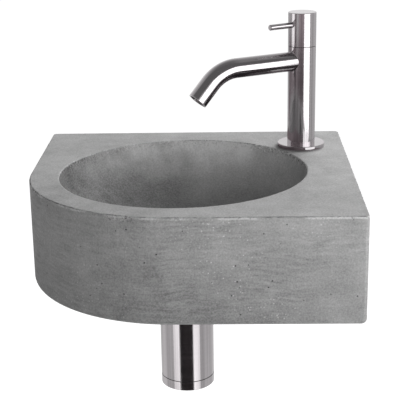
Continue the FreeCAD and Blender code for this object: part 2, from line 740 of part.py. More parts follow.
def make_headwork():
    """The quarter-turn headwork: shell, seals, two ported ceramic discs and the spindle that turns one."""
    shell = turned_piece("headwork_shell", [
        ("headwork_bore", "headwork_base"), ("headwork_radius", "headwork_base"),
        ("headwork_radius", "collar_base"), ("chamber_radius - thread_clearance", "collar_base"),
        ("chamber_radius - thread_clearance", "column_top"), ("spindle_hole", "column_top"),
        ("spindle_hole", "o_ring_height + groove_half"), ("groove_radius", "o_ring_height + groove_half"),
        ("groove_radius", "o_ring_height - groove_half"), ("spindle_hole", "o_ring_height - groove_half"),
        ("spindle_hole", "shoulder_height"), ("headwork_bore", "shoulder_height")])
    hexagon_sketch = add_sketch(shell, "XY_Plane", "hexagon")
    draw_outline(hexagon_sketch, hexagon("headwork_flats"))
    draw_circle(hexagon_sketch, "0", "0", "spindle_hole")
    hexagon_sketch.setExpression("AttachmentOffset.Base.z", formula("column_top"))
    add_pad(shell, hexagon_sketch, "headwork_hex_height")
    window = add_sketch(shell, "YZ_Plane", "window")
    draw_outline(window, [
        ("0 - window_width / 2", "window_base"), ("window_width / 2", "window_base"),
        ("window_width / 2", "window_base + window_height"),
        ("0 - window_width / 2", "window_base + window_height")])
    add_pocket(shell, window, "headwork_diameter + overrun", Midplane=True)
    place_on_tap(shell, "lever_heading")

    seal = ring_piece("headwork_seal", "waterway_diameter / 2", "headwork_radius", "chamber_floor",
                      "headwork_base")
    place_on_tap(seal, "lever_heading")

    fixed = new_body("fixed_disc")
    ported_disc(fixed, [("disc_port_radius", "0"), ("0 - disc_port_radius", "0")])
    place_on_tap(fixed, "lever_heading", "headwork_base")

    turning = new_body("turning_disc")
    ported_disc(turning, [("0", "disc_port_radius"), ("0", "0 - disc_port_radius")])
    slot_length, slot_width = "drive_length / 2 + face_clearance", "drive_width / 2 + face_clearance"
    slot = add_sketch(turning, "XY_Plane", "slot")
    draw_outline(slot, [
        (f"0 - ({slot_length})", f"0 - ({slot_width})"), (slot_length, f"0 - ({slot_width})"),
        (slot_length, slot_width), (f"0 - ({slot_length})", slot_width)])
    slot.setExpression("AttachmentOffset.Base.z", formula("disc_thickness"))
    add_pocket(turning, slot, "drive_slot_depth")
    place_on_tap(turning, "lever_heading", "turning_disc_base")

    spindle = new_body("headwork_spindle")
    collar_top = "shoulder_height - face_clearance"
    turn_profile(spindle, [
        ("0", "drive_base + drive_height"), ("spindle_radius", "drive_base + drive_height"),
        ("spindle_radius", "shoulder_height - spindle_collar"),
        ("disc_radius", "shoulder_height - spindle_collar"), ("disc_radius", collar_top),
        ("spindle_radius", collar_top), ("spindle_radius", "spindle_top"), ("0", "spindle_top")])
    drive = add_sketch(spindle, "XY_Plane", "drive")
    draw_outline(drive, [
        ("0 - drive_length / 2", "0 - drive_width / 2"), ("drive_length / 2", "0 - drive_width / 2"),
        ("drive_length / 2", "drive_width / 2"), ("0 - drive_length / 2", "drive_width / 2")])
    drive.setExpression("AttachmentOffset.Base.z", formula("drive_base"))
    add_pad(spindle, drive, "drive_height")
    flat = at("0 - flat_radius - spindle_radius", "0 - spindle_radius", "head_cavity_top")
    add_primitive(spindle, "SubtractiveBox", flat, Length="spindle_radius", Width="spindle_diameter",
                  Height="spindle_top - head_cavity_top + overrun")
    place_on_tap(spindle, "lever_heading")

    ring = ring_piece("spindle_o_ring", "spindle_hole", "spindle_hole + o_ring_section", "0 - o_ring_section / 2",
                      "o_ring_section / 2")
    place_on_tap(ring, "lever_heading", "o_ring_height")

    slip = ring_piece("slip_ring", "column_radius - slip_ring_inset - slip_ring_breadth",
                      "column_radius - slip_ring_inset", "column_top", "head_base - running_clearance")
    place_on_tap(slip)


def ported_disc(body, ports):
    """A ceramic disc with two round ports."""
    sketch = add_sketch(body, "XY_Plane", "disc")
    draw_circle(sketch, "0", "0", "disc_radius")
    for across, along in ports:
        draw_circle(sketch, across, along, "disc_port / 2")
    add_pad(body, sketch, "disc_thickness")


def make_waste():
    """The free-flow waste: flanged body, raised cover, gaskets above and below, and its nut."""
    gasket = ring_piece("waste_gasket", "waste_hole / 2", "waste_flange_diameter / 2", "waste_seat_floor",
                        "waste_flange_base")
    place_on_drain(gasket)
    body = turned_piece("waste_body", [
        ("waste_dish_diameter / 2", "waste_flange_top"), ("waste_flange_diameter / 2", "waste_flange_top"),
        ("waste_flange_diameter / 2", "waste_flange_base"), ("waste_tail_radius", "waste_flange_base"),
        ("waste_tail_radius", "tail_end"), ("waste_bore_radius", "tail_end"), ("waste_bore_radius", "dish_base")])
    half_bridge = "waste_bore_radius + face_clearance"
    add_primitive(body, "AdditiveBox", at(f"0 - ({half_bridge})", "0 - bridge_width / 2", "bridge_base"),
                  Length=f"({half_bridge}) * 2", Width="bridge_width", Height="bridge_height")
    add_primitive(body, "AdditiveCylinder", at("0", "0", "bridge_base"), Radius="bridge_boss / 2",
                  Height="bridge_height")
    add_primitive(body, "SubtractiveCylinder", at("0", "0", "bridge_base - overrun"),
                  Radius="stem_diameter / 2 + face_clearance", Height="bridge_height + overrun + overrun")
    place_on_drain(body)
    cover = turned_piece("waste_cover", [
        ("0", "bridge_base"), ("stem_diameter / 2", "bridge_base"), ("stem_diameter / 2", "dish_base"),
        ("bridge_boss / 2", "dish_base"), ("bridge_boss / 2", "cover_base"), ("cover_diameter / 2", "cover_base"),
        ("cover_diameter / 2", "cover_base + cover_thickness"), ("0", "cover_base + cover_thickness")])
    dress_edges(cover, "Chamfer", "cover_edge", round_at("cover_diameter / 2", "cover_base + cover_thickness"))
    place_on_drain(cover)
    under = ring_piece("under_gasket", "waste_tail_hole", "waste_nut_flats / 2 + under_gasket_thickness",
                       "under_gasket_base", "0")
    place_on_drain(under)
    nut = hex_nut("waste_nut", "waste_nut_flats", "waste_tail_hole", "waste_nut_height")
    place_on_drain(nut, "waste_nut_base")


def make_trap():
    """The bottle trap: body with its outlet socket, inlet washer, dip tube and screwed cup."""
    body = turned_piece("trap_body", [
        ("0", "trap_end"), ("trap_radius", "trap_end"), ("trap_radius", "trap_top"), ("0", "trap_top")])
    add_primitive(body, "AdditiveCylinder", along_wall("0", "outlet_height"), Radius="outlet_socket_radius",
                  Height="outlet_socket_reach")
    dress_edges(body, "Chamfer", "trap_edge", round_at("trap_radius", "trap_top"))
    turn_profile(body, [
        ("0", "trap_end - overrun"), ("trap_bore", "trap_end - overrun"), ("trap_bore", "trap_top - trap_top_wall"),
        ("collar_radius", "trap_top - trap_top_wall"), ("collar_radius", "shelf_base"), ("dip_hole", "shelf_base"),
        ("dip_hole", "shelf_top"), ("waste_tail_hole", "shelf_top"), ("waste_tail_hole", "trap_top + overrun"),
        ("0", "trap_top + overrun")], "PartDesign::Groove")
    add_primitive(body, "SubtractiveCylinder", along_wall("0", "outlet_height"), Radius="pipe_hole",
                  Height="outlet_socket_reach + overrun")
    place_on_drain(body)
    washer = ring_piece("inlet_washer", "waste_bore_radius", "waste_tail_radius", "dip_top", "tail_end")
    place_on_drain(washer)
    dip = turned_piece("dip_tube", [
        ("dip_radius - dip_wall", "dip_end"), ("dip_radius", "dip_end"), ("dip_radius", "shelf_top"),
        ("waste_tail_radius", "shelf_top"), ("waste_tail_radius", "dip_top"), ("dip_radius - dip_wall", "dip_top")])
    place_on_drain(dip)
    cup = turned_piece("trap_cup", [
        ("0", "trap_base"), ("trap_radius", "trap_base"), ("trap_radius", "cup_top"), ("spigot_radius", "cup_top"),
        ("spigot_radius", "trap_end + cup_spigot"), ("spigot_bore", "trap_end + cup_spigot"),
        ("spigot_bore", "trap_base + cup_floor"), ("0", "trap_base + cup_floor")])
    dress_edges(cup, "Chamfer", "cup_edge", round_at("trap_radius", "trap_base"))
    place_on_drain(cup)
    seal = ring_piece("cup_seal", "spigot_radius + face_clearance", "trap_radius - cup_edge", "cup_top",
                      "trap_end - running_clearance")
    place_on_drain(seal)


def make_outlet():
    """The outlet: union nut and seal on the trap's socket, the pipe to the wall and its rosette."""
    nut = turned_piece("outlet_nut", [
        ("outlet_nut_bore", "outlet_nut_start"), ("outlet_nut_radius", "outlet_nut_start"),
        ("outlet_nut_radius", "outlet_nut_end"), ("pipe_hole", "outlet_nut_end"), ("pipe_hole", "outlet_seal_end"),
        ("outlet_nut_bore", "outlet_seal_end")])
    for end in ("outlet_nut_start", "outlet_nut_end"):
        dress_edges(nut, "Chamfer", "outlet_nut_edge", round_at("outlet_nut_radius", end))
    place_on_outlet(nut)
    seal = ring_piece("outlet_seal", "pipe_radius + face_clearance", "outlet_socket_radius", "outlet_socket_reach",
                      "outlet_seal_end")
    place_on_outlet(seal)
    mark_radius = "pipe_radius - mark_depth"
    pipe = turned_piece("outlet_pipe", [
        ("pipe_radius - pipe_wall", "pipe_inner_end"), ("pipe_radius", "pipe_inner_end"),
        ("pipe_radius", "wall_distance - mark_width"), (mark_radius, "wall_distance - mark_width"),
        (mark_radius, "wall_distance"), ("pipe_radius", "wall_distance"), ("pipe_radius", "pipe_end"),
        ("pipe_radius - pipe_wall", "pipe_end")])
    place_on_outlet(pipe)
    rim, inner_rim = "rosette_diameter / 2", "rosette_diameter / 2 - rosette_wall"
    inner_bevel = f"rosette_bevel + rosette_wall * tan({RIGHT_ANGLE / 4})"
    rosette = turned_piece("wall_rosette", [
        ("pipe_hole", "rosette_base"), (f"{rim} - rosette_bevel", "rosette_base"),
        (rim, "rosette_base + rosette_bevel"), (rim, "wall_distance"), (inner_rim, "wall_distance"),
        (inner_rim, f"rosette_base + {inner_bevel}"), (f"{rim} - ({inner_bevel})", "rosette_base + rosette_wall"),
        ("pipe_hole", "rosette_base + rosette_wall")])
    place_on_outlet(rosette)


def write_pieces():
    """Check every feature and piece, then write one file for each piece."""
    doc.recompute()
    for feature in doc.Objects:
        if "Invalid" in feature.State or "Error" in feature.State:
            raise RuntimeError(f"{feature.Name} failed: {feature.State}")
    for body in pieces:
        if body.Shape.isNull() or not body.Shape.isValid() or len(body.Shape.Solids) != 1:
            raise RuntimeError(f"{body.Label} is not one sound solid")
    os.makedirs("parts", exist_ok=True)
    for body in pieces:
        body.Shape.exportStep(f"parts/{body.Label}.step")


make_basin()
make_tap_column()
make_base_flange()
make_tap_fixing()
make_tap_spout()
make_aerator()
make_lever_head()
make_headwork()
make_waste()
make_trap()
make_outlet()
write_pieces()
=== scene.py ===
import json
import math
from functools import partial, reduce
from types import SimpleNamespace

import bmesh
import bpy
from mathutils import Matrix, Vector


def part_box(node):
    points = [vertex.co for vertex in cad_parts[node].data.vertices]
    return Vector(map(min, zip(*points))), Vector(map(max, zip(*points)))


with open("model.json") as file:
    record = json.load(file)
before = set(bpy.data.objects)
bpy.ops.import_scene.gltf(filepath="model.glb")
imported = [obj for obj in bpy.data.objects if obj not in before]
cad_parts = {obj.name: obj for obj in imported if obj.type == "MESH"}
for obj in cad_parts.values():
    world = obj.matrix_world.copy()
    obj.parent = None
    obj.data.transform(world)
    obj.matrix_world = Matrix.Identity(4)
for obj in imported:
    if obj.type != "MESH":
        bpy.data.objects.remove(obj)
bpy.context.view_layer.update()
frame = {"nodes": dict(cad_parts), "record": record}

# Where the photograph was taken from, in metres, and its lens on a 36 mm sensor
CAMERA_SPOT = Vector((0.03523, -1.21157, 0.36577))
CAMERA_RIGHT = Vector((0.99965, 0.02099, -0.01570))
CAMERA_UP = Vector((0.00864, 0.30203, 0.95326))
CAMERA_LENS = 102.87
CAMERA_SENSOR = 36

# The studio: a rim height above the floor as fitted on a wall, and the light of the room
RIM_ABOVE_FLOOR = 0.85
FLOOR_SIZE = 30
FLOOR_COLOUR = (0.32, 0.32, 0.32, 1)
FLOOR_LIFT_SEEN = 1.0
FLOOR_LIFT_MIRRORED = 0.6
ROOM_FILL = 0.13
WHITE = (1, 1, 1, 1)

# The cloths, which show only as reflections: their tint, the level of a dark one, their heights against the
# rim, and the two distances between which a laid cloth turns from its own level to the dark one
CLOTH_TINT = Vector((1.1, 0.95, 1.0))
DARK_CLOTH = 0.04
CLOTH_LIFT = 0.001
CARD_LIFT = 0.0015
SIDE_CLOTH_DROP = 0.1
CLOSE_STEEL = 0.085
FAR_STEEL = 0.095

# The corners of the bright card, each a bearing in degrees and a reach from the tap's axis
CARD_CORNERS = ((14, 0.09), (62, 0.09), (34, 0.0255), (8, 0.0255))

# How far the screens and softboxes stand from the tap and the trap, and the heights that the steel mirrors
SCREEN_REACH = 1.35
TRAP_REACH = 0.95
HEAD_HEIGHTS = (-0.07, 0.5)
COLUMN_HEIGHTS = (-0.4, -0.07)
TRAP_HEIGHTS = (-0.76, -0.42)

# The oval bowl's own axes, which the concrete's finish follows
BOWL_LENGTH = 0.2412
BOWL_BREADTH = 0.2288
BOWL_TURN = math.radians(33)

# The concrete's plain tone, from 0 for dark to 1 for pale, and how far each kind of mark, painted light and
# painted shade moves it
PLAIN_TONE = 0.5
# Painted light on the bowl's upper back wall and in a run just below its rim
BACK_LIGHT_TONE = 0.38
LIGHT_RUN_TONE = 0.24
# Painted shade towards the bowl's left end
LEFT_END_SHADE_TONE = -0.22
SPECK_TONE = 0.42
# Pale crumbs of wear, and a painted highlight in a band just below the top's outer edge
WEAR_AND_HIGHLIGHT_TONE = 0.36
PORE_TONE = -0.45
CHIP_TONE = -0.36

# The span that holds most values of a noise texture
NOISE_SPAN = (0.3, 0.7)

# The depth of the concrete's relief, and of the fine lines and grain on the other pieces, in metres
CONCRETE_RELIEF = 0.0006
FINE_RELIEF = 0.0001

# The scales of the steel's brush lines and draw lines along each axis
LEVEL_BRUSH = (30, 30, 2400)
OUTLET_BRUSH = (30, 2400, 30)
FINE_BRUSH = (900, 900, 900)
TAP_DRAW_LINES = (420, 420, 2)
TRAP_DRAW_LINES = (160, 160, 2)

# The pitch of the pipe thread on the tap's shank, which has fourteen turns to the inch
SHANK_PITCH = 0.0254 / 14

rim_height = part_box("basin")[1][2]


def middle(node):
    """The middle of a piece's box."""
    low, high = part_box(node)
    return (Vector(low) + Vector(high)) / 2


tap_middle = middle("tap_column")
trap_middle = middle("trap_cup")
bowl_middle = middle("waste_cover")


def new_finish(name):
    """An empty material, and the tree that its nodes go into."""
    finish = bpy.data.materials.new(name)
    finish.use_nodes = True
    finish.node_tree.nodes.clear()
    return finish, finish.node_tree


def put(tree, kind, inputs=(), **settings):
    """Add a node, set its options, and set or link its inputs."""
    node = tree.nodes.new(kind)
    for option, choice in settings.items():
        setattr(node, option, choice)
    for socket, source in dict(inputs).items():
        if isinstance(source, bpy.types.NodeSocket):
            tree.links.new(source, node.inputs[socket])
        else:
            node.inputs[socket].default_value = source
    return node


def maths(tree, operation, *values):
    """The result of a sum on numbers or sockets."""
    return put(tree, "ShaderNodeMath", enumerate(values), operation=operation).outputs[0]


def product(tree, *values):
    """Numbers or sockets multiplied together."""
    return reduce(partial(maths, tree, "MULTIPLY"), values)


def total(tree, *values):
    """Numbers or sockets added together."""
    return reduce(partial(maths, tree, "ADD"), values)


def largest(tree, *values):
    """The largest of some numbers or sockets."""
    return reduce(partial(maths, tree, "MAXIMUM"), values)


def rest_of(tree, mask):
    """What a mask leaves out: 1 where it is 0."""
    return maths(tree, "SUBTRACT", 1.0, mask)


def spread(tree, value, span, new_span, smooth=False):
    """A value moved from one span to another, and held at its ends."""
    inputs = {"Value": value, "From Min": span[0], "From Max": span[1], "To Min": new_span[0],
              "To Max": new_span[1]}
    kind = "SMOOTHSTEP" if smooth else "LINEAR"
    return put(tree, "ShaderNodeMapRange", inputs, interpolation_type=kind).outputs["Result"]


def rise(tree, value, low, high, smooth=False):
    """A mask that goes from 0 to 1 over a span of a value."""
    return spread(tree, value, (low, high), (0, 1), smooth)


def fall(tree, value, low, high, smooth=False):
    """A mask that goes from 1 to 0 over a span of a value."""
    return spread(tree, value, (low, high), (1, 0), smooth)


def over_noise(tree, cloudy, to_low, to_high):
    """The values of a noise texture moved to another span."""
    return spread(tree, cloudy, NOISE_SPAN, (to_low, to_high))


def noise(tree, place, scale, detail=3, roughness=0.55):
    """Cloudy noise at a scale per metre."""
    inputs = {"Vector": place, "Scale": scale, "Detail": detail, "Roughness": roughness}
    return put(tree, "ShaderNodeTexNoise", inputs).outputs["Fac"]


def round_marks(tree, place, scale, core, edge):
    """Round marks, one to a cell, whose core and edge have radii that are shares of the cell."""
    cells = put(tree, "ShaderNodeTexVoronoi", {"Vector": place, "Scale": scale}).outputs["Distance"]
    return fall(tree, cells, core, edge, smooth=True)


def stretched(tree, place, scale, turn=(0, 0, 0)):
    """Coordinates stretched and turned, for streaks and brush lines."""
    inputs = {"Vector": place, "Scale": scale, "Rotation": turn}
    return put(tree, "ShaderNodeMapping", inputs).outputs["Vector"]


def facing_up(tree, normal):
    """How far a surface faces up: 1 for a top, 0 for a side and -1 for an underside."""
    return put(tree, "ShaderNodeSeparateXYZ", {0: normal}).outputs["Z"]


def upright_sides(tree, coords):
    """A mask of a piece's upright sides."""
    level = maths(tree, "ABSOLUTE", facing_up(tree, coords.outputs["Normal"]))
    return fall(tree, level, 0.3, 0.7)


def bumped(tree, relief, strength, distance):
    """A bump node on a relief."""
    return put(tree, "ShaderNodeBump", {"Height": relief, "Strength": strength, "Distance": distance})


def grey(level):
    """A plain grey as a colour."""
    return (level, level, level, 1)


def ramp(tree, value, *stops):
    """A colour that runs through the given stops, each a spot and a colour."""
    node = put(tree, "ShaderNodeValToRGB", {"Fac": value})
    elements = node.color_ramp.elements
    for element, (spot, colour) in zip(elements, (stops[0], stops[-1])):
        element.position = spot
        element.color = colour
    for spot, colour in stops[1:-1]:
        elements.new(spot).color = colour
    return node.outputs["Color"]


def scaled(tree, colour, share):
    """A colour made darker or paler by a share."""
    inputs = {0: colour, "Scale": share}
    return put(tree, "ShaderNodeVectorMath", inputs, operation="SCALE").outputs["Vector"]


def close_finish(tree, shader):
    """Send the finished shader to the surface."""
    put(tree, "ShaderNodeOutputMaterial", {"Surface": shader.outputs[0]})


def distance_from_bowl(tree, place):
    """How far out a point is, seen from above, as a share of the way from the bowl's middle to its rim."""
    oval = put(tree, "ShaderNodeMapping", {
        "Vector": place, "Location": (bowl_middle.x, bowl_middle.y, 0), "Rotation": (0, 0, BOWL_TURN),
        "Scale": (BOWL_LENGTH / 2, BOWL_BREADTH / 2, 1)}, vector_type="TEXTURE").outputs["Vector"]
    flat = put(tree, "ShaderNodeVectorMath", {0: oval, 1: (1, 1, 0)}, operation="MULTIPLY").outputs["Vector"]
    return put(tree, "ShaderNodeVectorMath", {0: flat}, operation="LENGTH").outputs["Value"]


def concrete_zones(tree):
    """Where a point of the basin lies, and masks of the basin's outside, its upright sides and its top."""
    place = put(tree, "ShaderNodeTexCoord").outputs["Object"]
    across, along, height = put(tree, "ShaderNodeSeparateXYZ", {0: place}).outputs
    upward = facing_up(tree, put(tree, "ShaderNodeNewGeometry").outputs["Normal"])
    level = maths(tree, "ABSOLUTE", upward)
    from_bowl = distance_from_bowl(tree, place)
    above_rim = maths(tree, "SUBTRACT", height, rim_height)
    outside = largest(tree, rise(tree, from_bowl, 1.002, 1.012), rise(tree, above_rim, -0.0012, -0.0002),
                      fall(tree, upward, -0.5, -0.2))
    return SimpleNamespace(
        place=place, across=across, above_rim=above_rim, from_bowl=from_bowl, level=level, outside=outside,
        right_of_bowl=maths(tree, "SUBTRACT", across, bowl_middle.x),
        behind_bowl=maths(tree, "SUBTRACT", along, bowl_middle.y),
        upright=product(tree, outside, fall(tree, level, 0.25, 0.75, smooth=True)),
        topside=product(tree, outside, rise(tree, level, 0.3, 0.6)))


def form_streaks(tree, zones):
    """Wavy streaks, almost level, that the form leaves in patches of the upright sides."""
    wander = put(tree, "ShaderNodeTexNoise", {"Vector": zones.place, "Scale": 11}).outputs["Color"]
    wavy = put(tree, "ShaderNodeVectorMath", {0: wander, 1: (0, 0, 0.022), 2: zones.place},
               operation="MULTIPLY_ADD").outputs["Vector"]
    lines = noise(tree, stretched(tree, wavy, (38, 38, 330), (0, math.radians(4), 0)), 1, 5, 0.7)
    patches = spread(tree, noise(tree, zones.place, 16), (0.4, 0.6), (0.3, 1))
    return product(tree, over_noise(tree, lines, -0.15, 0.15), zones.upright, patches)


def bowl_light_and_shade(tree, zones):
    """Painted light and shade in the bowl: light towards the back and in one run, and shade towards the left
    end and over the whole bowl.
    """
    # Painted light on the upper back wall, fading downwards and towards the right, mottled by noise
    painted_back_light = product(tree, rise(tree, zones.behind_bowl, 0.02, 0.105),
                   spread(tree, zones.above_rim, (-0.045, -0.008), (0.1, 1)),
                   spread(tree, zones.right_of_bowl, (0.02, 0.09), (1, 0.6)),
                   spread(tree, noise(tree, zones.place, 34, 4), (0.35, 0.65), (0.6, 1.5)))
    # Painted light in a run just below the rim, to the right of the bowl's middle
    painted_light_run = product(tree, rise(tree, zones.right_of_bowl, 0.005, 0.03),
                       fall(tree, zones.right_of_bowl, 0.045, 0.075),
                       rise(tree, zones.above_rim, -0.025, -0.008))
    # Painted shade towards the bowl's left end and low on its left side
    left_low_shade = product(tree, fall(tree, zones.above_rim, -0.02, -0.008),
                       spread(tree, zones.right_of_bowl, (-0.06, 0), (0.6, 0)))
    left_end_shade = largest(tree, fall(tree, zones.right_of_bowl, -0.115, -0.06), left_low_shade)
    shade = spread(tree, zones.right_of_bowl, (-0.05, 0.1), (-0.12, -0.03))
    return total(tree, product(tree, painted_back_light, BACK_LIGHT_TONE), product(tree, left_end_shade, LEFT_END_SHADE_TONE), shade,
                 product(tree, painted_light_run, LIGHT_RUN_TONE))


def basin_light_and_shade(tree, zones):
    """Painted light and shade over the basin: on its top, over its sides, and in the bowl."""
    # Painted light on the top and on the upright sides towards the right and far left, and painted shade
    # towards the sides' lower edge
    top = spread(tree, zones.across, (-0.1, 0.12), (0.09, 0.125))
    right = spread(tree, zones.across, (-0.05, 0.15), (-0.05, 0.09))
    left = spread(tree, zones.across, (-0.15, -0.03), (0.29, 0.02))
    low = spread(tree, zones.above_rim, (-0.1, -0.03), (-0.14, 0))
    return total(tree, product(tree, zones.topside, top),
                 product(tree, zones.upright, total(tree, right, left, low)),
                 product(tree, rest_of(tree, zones.outside), bowl_light_and_shade(tree, zones)))


def pores_and_specks(tree, zones):
    """Dark pores, fainter on the top and in the bowl, and pale specks in patches of the upright sides."""
    pores = product(tree, round_marks(tree, zones.place, 87, 0.042, 0.082),
                    spread(tree, zones.upright, (0, 1), (0.15, 1)))
    specks = product(tree, round_marks(tree, zones.place, 260, 0.10, 0.20), zones.upright,
                     rise(tree, noise(tree, zones.place, 13), 0.48, 0.62))
    return pores, specks


def edge_marks(tree, zones):
    """Dark chips and a painted highlight along the top's outer edge, and dark and pale crumbs below it and
    inside the bowl's rim.
    """
    frayed = maths(tree, "MULTIPLY_ADD", noise(tree, zones.place, 260, 2), 0.0012, zones.above_rim)
    beside_top = fall(tree, zones.level, 0.97, 0.995)
    arris = product(tree, beside_top, rise(tree, zones.from_bowl, 1.03, 1.06))
    upper = product(tree, arris, rise(tree, frayed, -0.0002, 0.0003))
    band = product(tree, arris, rise(tree, frayed, -0.0022, -0.0012))
    lower = maths(tree, "SUBTRACT", band, upper)
    rim = product(tree, maths(tree, "SUBTRACT", beside_top, arris), rise(tree, zones.from_bowl, 0.97, 0.99),
                  spread(tree, zones.right_of_bowl, (-0.05, 0.06), (0.45, 0.85)),
                  rise(tree, zones.above_rim, -0.008, -0.003))
    below_arris = product(tree, arris, rise(tree, frayed, -0.006, -0.001),
                          rise(tree, noise(tree, zones.place, 15), 0.52, 0.60))
    crumbly = total(tree, below_arris, rim)
    dark_crumbs = rise(tree, noise(tree, zones.place, 420, 2), 0.54, 0.64, smooth=True)
    pale_crumbs = rise(tree, noise(tree, zones.place, 330, 2), 0.52, 0.62, smooth=True)
    chipped = product(tree, upper, spread(tree, noise(tree, zones.place, 90), (0.48, 0.58), (0, 0.8)))
    chips = largest(tree, chipped, product(tree, crumbly, dark_crumbs))
    # A painted highlight in a pale band just below the top's outer edge, broken by noise
    edge_highlight = product(tree, lower, rise(tree, noise(tree, zones.place, 26, 2), 0.45, 0.54))
    # Wear in pale crumbs, joined with the painted highlight
    wear_and_highlight = largest(tree, edge_highlight, product(tree, crumbly, pale_crumbs))
    return chips, product(tree, wear_and_highlight, rest_of(tree, dark_crumbs))


def cast_concrete():
    """Sealed grey concrete: mottled, streaked along the form's sides, with pores, chipped arrises and
    painted light and shade.
    """
    finish, tree = new_finish("cast_concrete")
    zones = concrete_zones(tree)
    mottle = over_noise(tree, noise(tree, zones.place, 12), -0.07, 0.07)
    cloud = over_noise(tree, noise(tree, zones.place, 60, 4), -0.06, 0.06)
    grain = over_noise(tree, noise(tree, zones.place, 620, 3, 0.65), -0.13, 0.13)
    streaks = form_streaks(tree, zones)
    pores, specks = pores_and_specks(tree, zones)
    chips, wear_and_highlight = edge_marks(tree, zones)
    tone = total(tree, mottle, cloud, grain, streaks, PLAIN_TONE, basin_light_and_shade(tree, zones),
                 product(tree, specks, SPECK_TONE), product(tree, wear_and_highlight, WEAR_AND_HIGHLIGHT_TONE),
                 product(tree, pores, PORE_TONE), product(tree, chips, CHIP_TONE))
    colour = ramp(tree, tone, (0, grey(0.05)), (0.5, grey(0.385)), (1, grey(0.72)))
    raised = total(tree, product(tree, grain, 0.8), product(tree, streaks, 0.5))
    relief = maths(tree, "SUBTRACT", raised, total(tree, pores, chips))
    bump = bumped(tree, relief, 0.35, CONCRETE_RELIEF)
    shader = put(tree, "ShaderNodeBsdfPrincipled", {
        "Base Color": colour, "Roughness": spread(tree, tone, (0.2, 0.8), (0.86, 0.68)),
        "Specular IOR Level": 0.3, "Normal": bump.outputs["Normal"]})
    close_finish(tree, shader)
    return finish


def brushed_steel(name, brush, drawn=None):
    """Stainless steel with brush lines, and draw lines on the upright side of a tube."""
    finish, tree = new_finish(name)
    coords = put(tree, "ShaderNodeTexCoord")
    place = coords.outputs["Object"]
    lines = noise(tree, stretched(tree, place, brush), 1, 3, 0.7)
    blotch = noise(tree, place, 45)
    rough = total(tree, over_noise(tree, lines, 0.08, 0.16), over_noise(tree, blotch, -0.02, 0.02))
    colour = ramp(tree, lines, (0, (0.46, 0.434, 0.447, 1)), (1, (0.62, 0.592, 0.607, 1)))
    if drawn:
        draw_lines = noise(tree, stretched(tree, place, drawn), 1, 2, 0.6)
        marks = spread(tree, draw_lines, (0.35, 0.65), (-0.38, 0.05))
        colour = scaled(tree, colour, maths(tree, "MULTIPLY_ADD", marks, upright_sides(tree, coords), 1.0))
    bump = bumped(tree, lines, 0.08, FINE_RELIEF)
    shader = put(tree, "ShaderNodeBsdfPrincipled", {
        "Base Color": colour, "Metallic": 1, "Roughness": rough, "Normal": bump.outputs["Normal"]})
    close_finish(tree, shader)
    return finish


def thread_crest(tree, place, sides, pitch):
    """The relief of a thread around the tap's axis, which rises from its root to its crest once a turn."""
    across, along, height = put(tree, "ShaderNodeSeparateXYZ", {0: place}).outputs
    bearing = maths(tree, "ARCTAN2", maths(tree, "SUBTRACT", along, tap_middle.y),
                    maths(tree, "SUBTRACT", across, tap_middle.x))
    turns = maths(tree, "SUBTRACT", maths(tree, "DIVIDE", height, pitch),
                  maths(tree, "DIVIDE", bearing, 2 * math.pi))
    return product(tree, maths(tree, "PINGPONG", turns, 0.5), sides)


def machined_brass(name, thread_pitch=None):
    """Raw turned brass, slightly tarnished in patches, with a cut thread on the tap's shank whose roots
    carry painted shade.
    """
    finish, tree = new_finish(name)
    coords = put(tree, "ShaderNodeTexCoord")
    place = coords.outputs["Object"]
    tarnish = noise(tree, place, 120, 4)
    colour = ramp(tree, tarnish, (0, (0.52, 0.36, 0.15, 1)), (1, (0.80, 0.60, 0.30, 1)))
    cuts = noise(tree, stretched(tree, place, (40, 40, 2600)), 1, 2)
    bump = bumped(tree, cuts, 0.15, FINE_RELIEF)
    if thread_pitch:
        sides = upright_sides(tree, coords)
        crest = thread_crest(tree, place, sides, thread_pitch)
        depth = maths(tree, "SUBTRACT", sides, crest)
        # Painted shade: the thread's roots darker than its crests
        colour = scaled(tree, colour, spread(tree, depth, (0.5, 1), (1, 0.45)))
        thread = bumped(tree, crest, 0.9, thread_pitch)
        tree.links.new(bump.outputs["Normal"], thread.inputs["Normal"])
        bump = thread
    shader = put(tree, "ShaderNodeBsdfPrincipled", {
        "Base Color": colour, "Metallic": 1, "Roughness": over_noise(tree, tarnish, 0.38, 0.24),
        "Normal": bump.outputs["Normal"]})
    close_finish(tree, shader)
    return finish


def soft_finish(name, dark, pale, rough, grain_scale):
    """A plain moulded finish with a fine grain between two colours."""
    finish, tree = new_finish(name)
    place = put(tree, "ShaderNodeTexCoord").outputs["Object"]
    grain = noise(tree, place, grain_scale)
    colour = ramp(tree, grain, (0, dark), (1, pale))
    bump = bumped(tree, grain, 0.2, FINE_RELIEF)
    shader = put(tree, "ShaderNodeBsdfPrincipled", {
        "Base Color": colour, "Roughness": over_noise(tree, grain, rough - 0.06, rough + 0.06),
        "Normal": bump.outputs["Normal"]})
    close_finish(tree, shader)
    return finish


def slot_finishes():
    """The finish of each material slot in the record."""
    return {
        "concrete": cast_concrete(),
        "steel": brushed_steel("steel_turned", LEVEL_BRUSH),
        "brass": machined_brass("brass_turned"),
        "seal_rubber": soft_finish("seal_rubber", dark=(0.012, 0.012, 0.012, 1),
                                   pale=(0.035, 0.035, 0.036, 1), rough=0.6, grain_scale=900),
        "disc_ceramic": soft_finish("lapped_ceramic", dark=(0.80, 0.80, 0.77, 1),
                                    pale=(0.90, 0.90, 0.88, 1), rough=0.2, grain_scale=500),
        "plastic": soft_finish("moulded_plastic", dark=(0.62, 0.62, 0.60, 1),
                               pale=(0.74, 0.74, 0.72, 1), rough=0.45, grain_scale=700)}


